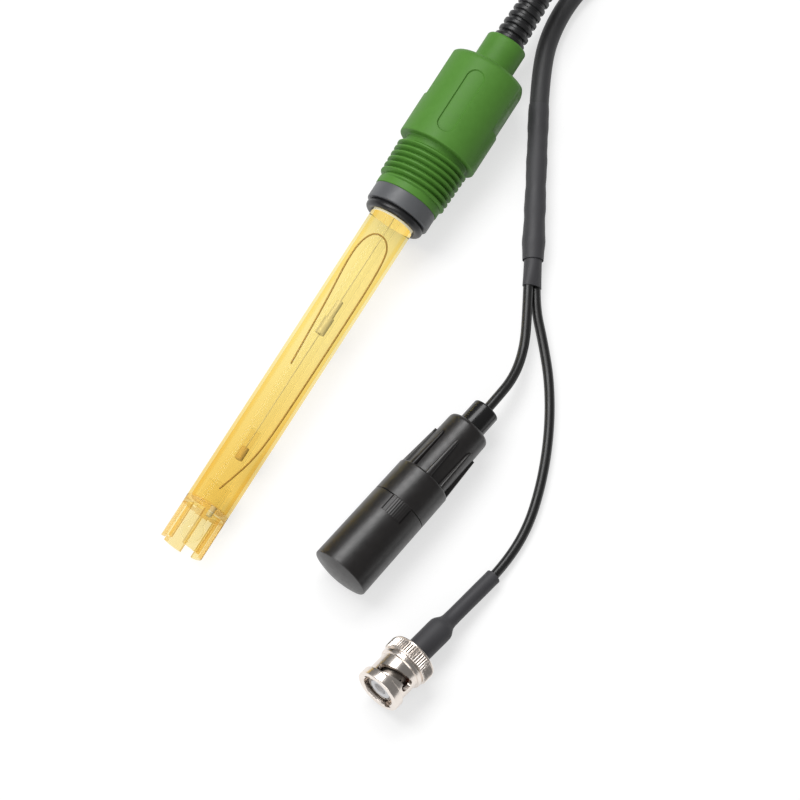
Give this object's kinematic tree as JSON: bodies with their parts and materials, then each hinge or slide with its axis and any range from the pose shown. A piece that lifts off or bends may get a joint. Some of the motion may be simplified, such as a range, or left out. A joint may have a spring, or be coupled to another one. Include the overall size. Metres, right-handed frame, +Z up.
{
  "type": "ph electrode",
  "caption": "In-line pH electrode: clear amber probe with a green threaded head, on a black lead that splits to a small battery case and a bayonet plug.",
  "frame": {"origin": "on the table, under the middle of the probe's box, the lead not counted", "axes": "+X along the probe from its tip to its cable end, +Y across, +Z up"},
  "size_m": [0.3267, 0.1124, 0.0247],
  "materials": {
    "amber_tube": "clear amber moulded plastic, polished",
    "glass": "clear glass",
    "clear_seal": "clear cast resin",
    "reference_amber": "dark amber coated wire",
    "silver": "drawn metal wire",
    "dark_pellet": "dark pressed pellet",
    "ceramic": "porous ceramic",
    "black_rubber": "black moulded rubber",
    "grey_plastic": "grey moulded plastic",
    "green_plastic": "green moulded plastic, satin",
    "board_green": "lacquered circuit board",
    "black_chip": "moulded component",
    "cable_jacket": "black cable jacket, satin",
    "shrink_sleeve": "black heat-shrunk sleeve",
    "tie_plastic": "black nylon",
    "case_plastic": "black moulded plastic, fine satin",
    "cell_steel": "plated steel can",
    "contact_plate": "nickel plated spring strip",
    "nickel": "nickel plated, machined",
    "white_insulator": "white insulator",
    "gold_pin": "gold plated pin",
    "gasket_rubber": "soft rubber ring"
  },
  "bodies": {
    "electrode": {"electrode_tube": "amber_tube", "ph_glass": "glass", "stem_seal": "clear_seal", "reference_wire": "reference_amber", "reference_pellet": "dark_pellet", "pellet_sleeve": "clear_seal", "inner_wire": "silver", "wire_splice": "silver", "junction_pin": "ceramic", "tube_stopper": "black_rubber", "o_ring": "black_rubber", "sealing_washer": "grey_plastic", "threaded_head": "green_plastic", "amplifier_board": "board_green", "board_parts": "black_chip", "strain_relief": "black_rubber", "main_cable_out": "cable_jacket", "cable_coil": "cable_jacket", "coil_tie": "tie_plastic", "main_cable_back": "cable_jacket", "splice_sleeve": "shrink_sleeve", "inner_sleeve": "shrink_sleeve", "branch_cable_case": "cable_jacket", "branch_cable_plug": "cable_jacket", "case_body": "case_plastic", "case_bush": "black_rubber", "battery_cell": "cell_steel", "rear_contact": "contact_plate", "contact_strip": "contact_plate", "plug_body": "nickel", "plug_insulator": "white_insulator", "plug_pin": "gold_pin", "plug_gasket": "gasket_rubber", "spring_washer": "contact_plate", "retaining_ring": "contact_plate", "crimp_ferrule": "nickel", "plug_boot": "shrink_sleeve"},
    "battery_cap": {"battery_cap": "case_plastic", "cap_contact": "contact_plate"},
    "plug_coupling": {"plug_coupling": "nickel"}
  },
  "joints": [
    {"name": "battery_cap_pull", "type": "slide", "parent": "electrode", "child": "battery_cap", "axis": [-0.9887, 0.1495, 0.0113], "range_m": [0, 0.024]},
    {"name": "coupling_turn", "type": "hinge", "parent": "electrode", "child": "plug_coupling", "pos_m": [-0.09689, -0.06874, 0.00838], "axis": [-0.9723, 0.1767, 0.1527], "continuous": true}
  ]
}
